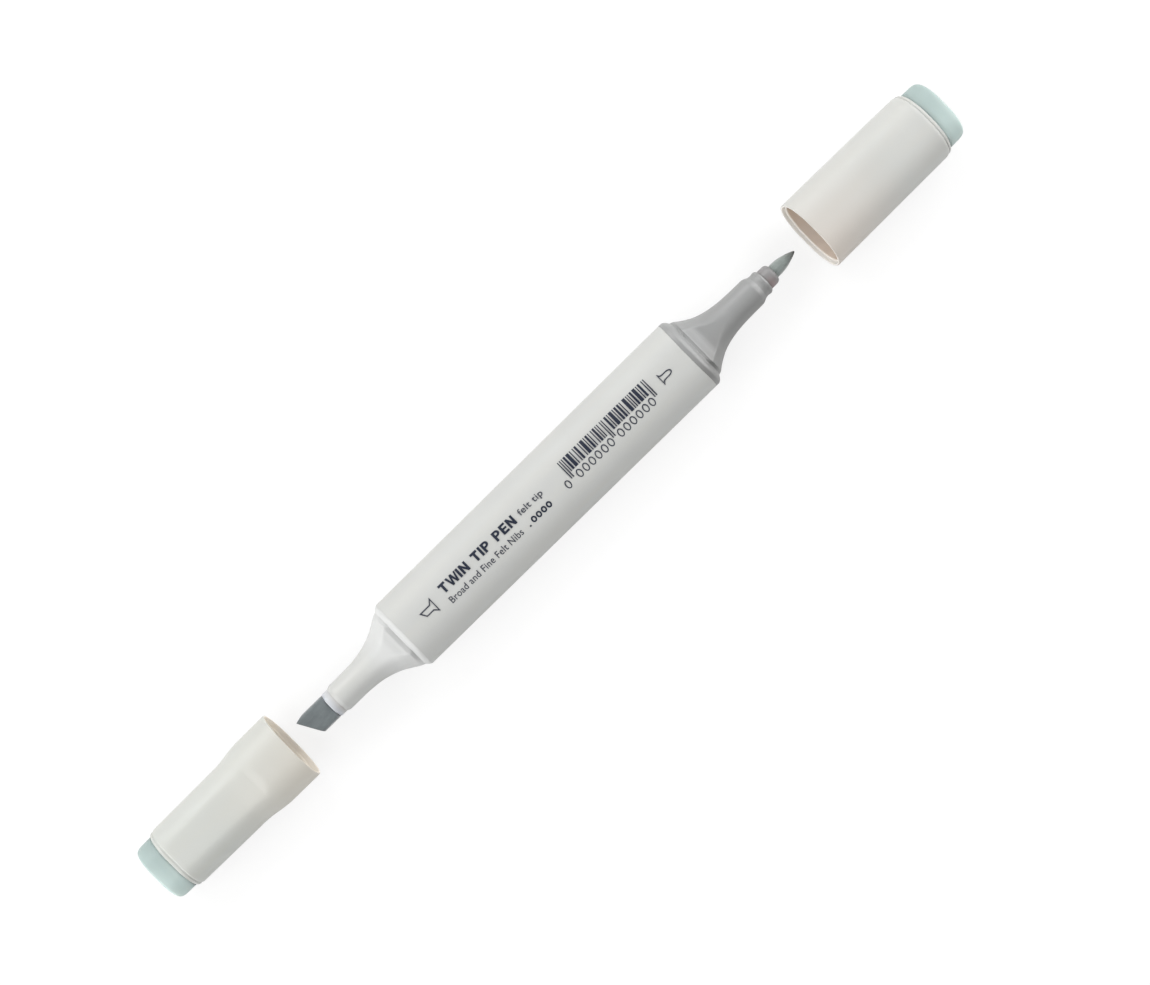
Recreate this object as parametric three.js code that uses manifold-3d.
// Twin-tip felt tip marker: an oval barrel with a nozzle pressed into each end,
// a broad chisel nib on the -X side, a fine tapered nib on the +X side, and two
// push-on caps laid in line with it. Millimetres, +X along the marker towards the
// fine tip, +Z up. The marker lies on one of its broad faces at z = 0.
import * as THREE from "three";
import { mergeVertices } from "three/addons/utils/BufferGeometryUtils.js";
import Module from "manifold-3d";

const wasm = await Module();
wasm.setup();

// ---------------------------------------------------------------- dimensions
const SIDES = 32; // facets round an oval piece
const ROUND_SIDES = 24; // facets round a small turned piece
const OVAL = 2.25; // exponent of the oval cross-section
const HALF_THICK = 6.15; // half thickness of barrel and cap mouths
const FLAT_CUT = 0.02; // how much the oval is planed off to give a narrow resting flat

const BARREL_X0 = -38.25; // chisel end of the barrel
const BARREL_X1 = 37.82; // fine end of the barrel
const BARREL_A0 = 7.715; // half width at the chisel end
const BARREL_A1 = 8.04; // half width at the fine end
const BARREL_WALL = 1.3;
const SPIGOT_LENGTH = 5.0; // length of nozzle inside the barrel
const SPIGOT_GAP = 0.1;

const CHISEL_MOUTH_X = -67.95; // rest place of the chisel cap's mouth
const CHISEL_SHELL_END_X = -98.54;
const CHISEL_PLUG_END_X = -102.56;
const BRUSH_MOUTH_X = 71.57;
const BRUSH_SHELL_END_X = 103.28;
const BRUSH_PLUG_END_X = 107.61;
const PLUG_GAP = 0.1; // between a cap shell's end face and the plug's head

const NECK_C_BORE = 2.3; // bore of the white nozzle's neck
const NECK_B_BORE = 1.9; // bore of the grey nozzle's nose
const CHISEL_SHANK_R = 1.65;
const BRUSH_NIB_R = 1.42;
const CHISEL_LINER_R = 3.2; // seal radius on the white neck
const BRUSH_LINER_R = 3.3; // seal radius on the grey neck

const RESERVOIR_R = 4.3;
const FILM_IN_R = 4.42;
const FILM_OUT_R = 4.56;

// The origin is under the middle of the whole laid-out set.
const CENTRE_X = (CHISEL_PLUG_END_X + BRUSH_PLUG_END_X) / 2;

// ------------------------------------------------------------------ geometry
// A cross-section is a circle of radius r (optionally planed at z = +-flat), or an
// oval of half width a and half thickness b (optionally planed the same way).
const oval = (a, b, flat = b) => ({ a, b: b + FLAT_CUT, flat });
const disc = (r, flat = Infinity) => ({ a: r, b: r, flat, n: 2 });

function reach(sec, t) {
  const c = Math.abs(Math.cos(t));
  const s = Math.abs(Math.sin(t));
  const n = sec.n ?? OVAL;
  const free = Math.pow(Math.pow(c / sec.a, n) + Math.pow(s / sec.b, n), -1 / n);
  return s * free > sec.flat ? sec.flat / s : free;
}

// A closed body swept through cross-sections along X. stations is a list of
// [x, section]; an open list ends in flat caps, a ring list joins its last station
// to its first, which makes a tube.
function sweep(stations, ring, sides = SIDES) {
  const points = [];
  const rows = stations.map(([x, sec]) => {
    const row = [];
    for (let i = 0; i < sides; i++) {
      const t = ((i + 0.5) / sides) * Math.PI * 2;
      const r = reach(sec, t);
      row.push(points.length / 3);
      points.push(x, r * Math.cos(t), r * Math.sin(t));
    }
    return row;
  });
  const faces = [];
  const last = ring ? rows.length : rows.length - 1;
  for (let k = 0; k < last; k++) {
    const p = rows[k];
    const q = rows[(k + 1) % rows.length];
    for (let i = 0; i < sides; i++) {
      const j = (i + 1) % sides;
      faces.push(p[i], p[j], q[j], p[i], q[j], q[i]);
    }
  }
  if (!ring) {
    for (const [row, x, flip] of [
      [rows[0], stations[0][0], true],
      [rows[rows.length - 1], stations[stations.length - 1][0], false],
    ]) {
      const centre = points.length / 3;
      points.push(x, 0, 0);
      for (let i = 0; i < sides; i++) {
        const j = (i + 1) % sides;
        if (flip) faces.push(centre, row[j], row[i]);
        else faces.push(centre, row[i], row[j]);
      }
    }
  }
  const g = new THREE.BufferGeometry();
  g.setAttribute("position", new THREE.Float32BufferAttribute(points, 3));
  g.setIndex(faces);
  const solid = toSolid(g);
  return solid.volume() < 0 ? flipped(g) : g;
}

function flipped(g) {
  const idx = Array.from(g.index.array);
  for (let i = 0; i < idx.length; i += 3) [idx[i + 1], idx[i + 2]] = [idx[i + 2], idx[i + 1]];
  g.setIndex(idx);
  return g;
}

function toSolid(geometry) {
  const g = geometry.clone();
  for (const name of Object.keys(g.attributes)) if (name !== "position") g.deleteAttribute(name);
  const m = mergeVertices(g, 1e-5);
  return new wasm.Manifold(
    new wasm.Mesh({
      numProp: 3,
      vertProperties: new Float32Array(m.attributes.position.array),
      triVerts: new Uint32Array(m.index.array),
    }),
  );
}

function fromSolid(solid) {
  const m = solid.getMesh();
  const g = new THREE.BufferGeometry();
  g.setAttribute("position", new THREE.Float32BufferAttribute(Array.from(m.vertProperties), 3));
  g.setIndex(Array.from(m.triVerts));
  return g;
}

// A turned piece along X from a closed (radius, x) profile.
function turned(profile, sides = ROUND_SIDES) {
  const g = new THREE.LatheGeometry(
    profile.map(([r, x]) => new THREE.Vector2(r, x)),
    sides,
  );
  g.rotateZ(-Math.PI / 2); // the lathe's own +Y axis becomes +X
  for (const name of ["normal", "uv"]) g.deleteAttribute(name);
  const m = mergeVertices(g, 1e-4);
  return toSolid(m).volume() < 0 ? flipped(m) : m;
}

const smooth = (t) => t * t * (3 - 2 * t);

// ------------------------------------------------------------------ materials
const plastic = (hex, roughness) =>
  new THREE.MeshStandardMaterial({ color: new THREE.Color(hex), roughness, metalness: 0 });
const BARREL_MAT = plastic(0xd6d7d4, 0.45);
const CAP_MAT = plastic(0xd9d8d2, 0.45);
const WHITE_MAT = plastic(0xdcdddb, 0.42);
const GREY_MAT = plastic(0xa4a5a6, 0.45);
const PLUG_MAT = plastic(0xbaccc8, 0.4);
const SLEEVE_MAT = plastic(0xccd2dc, 0.35);
const FELT_MAT = plastic(0x6e7a7c, 0.95);
const FELT_FINE_MAT = plastic(0x82918e, 0.95);
const FIBRE_MAT = plastic(0xd8dcd8, 0.95);
const FILM_MAT = plastic(0xe4e8ea, 0.3);
const LINER_MAT = plastic(0xe6e2da, 0.5);

const root = new THREE.Group();
function add(name, geometry, material) {
  const mesh = new THREE.Mesh(geometry, material);
  mesh.name = name;
  root.add(mesh);
}

// --------------------------------------------------------------------- barrel
const barrelHalf = (x) =>
  BARREL_A0 + ((BARREL_A1 - BARREL_A0) * (x - BARREL_X0)) / (BARREL_X1 - BARREL_X0);
const barrelIn = (x) => oval(barrelHalf(x) - BARREL_WALL, HALF_THICK - BARREL_WALL);
add(
  "barrel",
  sweep(
    [
      [BARREL_X0, oval(BARREL_A0, HALF_THICK)],
      [BARREL_X1, oval(BARREL_A1, HALF_THICK)],
      [BARREL_X1, barrelIn(BARREL_X1)],
      [BARREL_X0, barrelIn(BARREL_X0)],
    ],
    true,
  ),
  BARREL_MAT,
);

const spigot = (x) => {
  const a = barrelHalf(x) - BARREL_WALL - SPIGOT_GAP;
  const b = HALF_THICK - BARREL_WALL - SPIGOT_GAP;
  return oval(a, b);
};

// ------------------------------------------------------- white nozzle, chisel
{
  const x0 = BARREL_X0;
  const inner = x0 + SPIGOT_LENGTH;
  add(
    "chisel_nozzle",
    sweep(
      [
        [inner, spigot(inner)],
        [x0 - 0.05, spigot(x0)],
        [x0 - 0.05, oval(7.7, 6.13)],
        [-38.5, oval(7.62, 6.06)],
        [-38.86, oval(7.38, 5.84)],
        [-39.22, oval(6.96, 5.44)],
        [-39.34, oval(6.84, 4.82)],
        [-40.1, oval(6.6, 5.06)],
        [-41.38, disc(5.81, 5.02)],
        [-42.51, disc(5.14, 4.68)],
        [-43.65, disc(4.57, 4.33)],
        [-44.78, disc(4.12, 4.0)],
        [-45.91, disc(3.77, 3.7)],
        [-47.05, disc(3.49)],
        [-48.18, disc(3.28)],
        [-49.31, disc(3.18)],
        [-50.44, disc(3.1)],
        [-55.05, disc(3.06)],
        [-55.6, disc(2.95)],
        [-56.0, disc(2.78)],
        [-56.0, disc(NECK_C_BORE)],
        [-46.0, disc(NECK_C_BORE)],
        [-43.0, disc(3.0)],
        [inner, disc(3.2)],
      ],
      true,
    ),
    WHITE_MAT,
  );
}

// ---------------------------------------------------------- grey nozzle, fine
{
  const x1 = BARREL_X1;
  const inner = x1 - SPIGOT_LENGTH;
  add(
    "brush_nozzle",
    sweep(
      [
        [inner, spigot(inner)],
        [x1 + 0.05, spigot(x1)],
        [x1 + 0.05, oval(8.03, 6.14)],
        [38.7, oval(8.03, 6.14)],
        [39.2, oval(7.7, 5.84)],
        [39.62, oval(7.02, 5.36)],
        [39.76, oval(6.88, 4.62)],
        [40.42, oval(6.73, 4.66)],
        [41.63, disc(5.83, 4.62)],
        [42.8, disc(5.13, 4.26)],
        [43.97, disc(4.5, 3.99)],
        [45.14, disc(4.1, 3.82)],
        [46.32, disc(3.78, 3.64)],
        [47.49, disc(3.55, 3.52)],
        [48.66, disc(3.39)],
        [49.84, disc(3.28)],
        [52.19, disc(3.18)],
        [56.0, disc(3.15)],
        [56.5, disc(2.95)],
        [56.88, disc(2.69)],
        [58.48, disc(2.66)],
        [58.84, disc(2.35)],
        [58.84, disc(NECK_B_BORE)],
        [49.0, disc(NECK_B_BORE)],
        [45.0, disc(2.9)],
        [inner, disc(3.2)],
      ],
      true,
    ),
    GREY_MAT,
  );
}

// ---------------------------------------------------------------- nib holders
add(
  "chisel_nib_holder",
  turned([
    [1.76, -57.62],
    [1.76, -50.0],
    [2.2, -50.0],
    [2.2, -56.08],
    [2.76, -56.08],
    [2.76, -57.48],
    [2.62, -57.62],
    [1.76, -57.62],
  ]),
  SLEEVE_MAT,
);
add(
  "brush_nib_holder",
  turned([
    [1.5, 61.27],
    [1.5, 50.0],
    [1.8, 50.0],
    [1.8, 58.92],
    [2.2, 58.92],
    [2.2, 60.97],
    [1.92, 61.27],
    [1.5, 61.27],
  ]),
  GREY_MAT.clone(),
);

// ----------------------------------------------------------------------- nibs
// The broad nib: a rounded block on a round shank, cut off at a slant in the
// plane of the broad face, with the leading corner slightly eased.
{
  const blank = toSolid(
    sweep(
      [
        [-29.6, disc(CHISEL_SHANK_R)],
        [-57.7, disc(CHISEL_SHANK_R)],
        [-57.7, { a: 2.62, b: 2.15, flat: Infinity, n: 5 }],
        [-57.9, { a: 2.71, b: 2.22, flat: Infinity, n: 5 }],
        [-66.0, { a: 2.71, b: 2.22, flat: Infinity, n: 5 }],
      ],
      false,
      ROUND_SIDES,
    ),
  );
  const cutter = (p, q, depth) => {
    // a block whose near face holds the line p-q and lies on the left of p->q
    const d = new THREE.Vector2(q[0] - p[0], q[1] - p[1]);
    const g = new THREE.BoxGeometry(20, depth, 10);
    g.translate(0, depth / 2, 0);
    g.rotateZ(Math.atan2(d.y, d.x));
    g.translate((p[0] + q[0]) / 2, (p[1] + q[1]) / 2, 0);
    return toSolid(g);
  };
  const nib = blank
    .subtract(cutter([-61.67, -2.64], [-64.41, 2.23], 8))
    .subtract(cutter([-64.41, 2.23], [-62.9, 2.62], 3));
  add("chisel_nib", fromSolid(nib), FELT_MAT);
}
// The fine nib: a long round rod drawn to a point.
add(
  "brush_nib",
  turned([
    [0, 29.3],
    [BRUSH_NIB_R, 29.3],
    [BRUSH_NIB_R, 62.4],
    [1.37, 63.2],
    [1.17, 64.36],
    [0.81, 65.64],
    [0.39, 66.76],
    [0, 67.28],
  ]),
  FELT_FINE_MAT,
);

// ------------------------------------------------------------------ reservoir
const RES_X0 = BARREL_X0 + SPIGOT_LENGTH + 0.35;
const RES_X1 = BARREL_X1 - SPIGOT_LENGTH - 0.35;
add(
  "ink_reservoir",
  turned([
    [0, RES_X0 + 3.6],
    [1.8, RES_X0 + 3.6],
    [1.8, RES_X0],
    [RESERVOIR_R, RES_X0],
    [RESERVOIR_R, RES_X1],
    [1.55, RES_X1],
    [1.55, RES_X1 - 3.6],
    [0, RES_X1 - 3.6],
  ]),
  FIBRE_MAT,
);
add(
  "reservoir_film",
  turned([
    [FILM_IN_R, RES_X0 + 0.4],
    [FILM_OUT_R, RES_X0 + 0.4],
    [FILM_OUT_R, RES_X1 - 0.4],
    [FILM_IN_R, RES_X1 - 0.4],
    [FILM_IN_R, RES_X0 + 0.4],
  ]),
  FILM_MAT,
);

// ---------------------------------------------------------------- chisel cap
// Full-size at the mouth, waisted behind it, with a flat planed on each broad face.
{
  const waist = [
    [-75.2, 0],
    [-76.8, 0.18],
    [-78.3, 0.5],
    [-79.8, 0.82],
    [-81.4, 1],
  ];
  const outer = (k) => {
    const a = 7.66 + (6.97 - 7.66) * k;
    const b = 6.15 + (5.76 - 6.15) * k;
    const flat = 6.15 + (5.4 - 6.15) * k;
    return { a, b: b + FLAT_CUT, flat };
  };
  const stations = [
    [CHISEL_MOUTH_X, oval(7.7, HALF_THICK)],
    ...waist.map(([x, k]) => [x, outer(k)]),
    [-97.95, { a: 6.8, b: 5.62, flat: 5.34 }],
    [-98.4, { a: 6.68, b: 5.5, flat: 5.24 }],
    [CHISEL_SHELL_END_X, { a: 6.46, b: 5.3, flat: 5.1 }],
    // inside, from the closed end back to the mouth
    [CHISEL_SHELL_END_X, { a: 5.95, b: 4.75, flat: 4.5 }],
    [-81.4, { a: 6.12, b: 4.85, flat: 4.55 }],
    [-78.3, { a: 6.5, b: 5.1, flat: 4.95 }],
    [-75.2, oval(6.85, 5.44)],
    [CHISEL_MOUTH_X - 0.9, oval(6.92, 5.5)],
    [CHISEL_MOUTH_X - 0.65, oval(7.2, 5.7)],
    [CHISEL_MOUTH_X, oval(7.26, 5.74)],
  ];
  add("chisel_cap_shell", sweep(stations, true), CAP_MAT);
  const front = -80.8;
  const floor = -93.9;
  const flange = { a: 5.85, b: 4.6, flat: 4.4 };
  add(
    "chisel_cap_liner",
    sweep(
      [
        [floor - 0.7, flange],
        [floor, flange],
        [floor, disc(4.1)],
        [front - 0.4, disc(4.05)],
        [front, disc(3.65)],
        [front - 0.6, disc(CHISEL_LINER_R)],
        [floor, disc(CHISEL_LINER_R)],
      ],
      false,
    ),
    LINER_MAT,
  );
  const key = { a: 5.82, b: 4.6, flat: 4.36 };
  const head = CHISEL_SHELL_END_X - PLUG_GAP;
  add(
    "chisel_cap_plug",
    sweep(
      [
        [floor - 0.85, key],
        [head, key],
        [head, { a: 6.2, b: 5.06, flat: 4.92 }],
        [-101.2, { a: 6.17, b: 5.03, flat: 4.9 }],
        [-101.95, { a: 5.98, b: 4.86, flat: 4.72 }],
        [-102.38, { a: 5.55, b: 4.46, flat: 4.32 }],
        [CHISEL_PLUG_END_X, { a: 4.95, b: 3.9, flat: 3.78 }],
      ],
      false,
    ),
    PLUG_MAT,
  );
}

// ------------------------------------------------------------------ brush cap
{
  add(
    "brush_cap_shell",
    sweep(
      [
        [BRUSH_MOUTH_X, oval(8.01, HALF_THICK)],
        [102.45, oval(7.78, 5.98)],
        [102.95, oval(7.66, 5.86)],
        [BRUSH_SHELL_END_X, oval(7.34, 5.56)],
        [BRUSH_SHELL_END_X, oval(6.85, 5.1)],
        [BRUSH_MOUTH_X + 0.95, oval(7.15, 5.5)],
        [BRUSH_MOUTH_X + 0.7, oval(7.48, 5.72)],
        [BRUSH_MOUTH_X, oval(7.54, 5.76)],
      ],
      true,
    ),
    CAP_MAT.clone(),
  );
  const front = 84.75;
  const floor = 99.65;
  const flange = oval(6.75, 5.0);
  add(
    "brush_cap_liner",
    sweep(
      [
        [floor + 0.65, flange],
        [floor, flange],
        [floor, disc(4.25)],
        [front + 0.4, disc(4.2)],
        [front, disc(3.85)],
        [front + 0.6, disc(BRUSH_LINER_R)],
        [floor, disc(BRUSH_LINER_R)],
      ],
      false,
    ),
    LINER_MAT.clone(),
  );
  const key = oval(6.7, 4.95);
  const head = BRUSH_SHELL_END_X + PLUG_GAP;
  add(
    "brush_cap_plug",
    sweep(
      [
        [floor + 0.85, key],
        [head, key],
        [head, oval(6.98, 5.34)],
        [106.2, oval(6.94, 5.3)],
        [107.0, oval(6.72, 5.1)],
        [107.45, oval(6.22, 4.66)],
        [BRUSH_PLUG_END_X, oval(5.5, 4.05)],
      ],
      false,
    ),
    PLUG_MAT.clone(),
  );
}

// The origin goes to the middle of the footprint, at the surface it rests on.
root.position.set(-CENTRE_X, 0, HALF_THICK);

export default root;
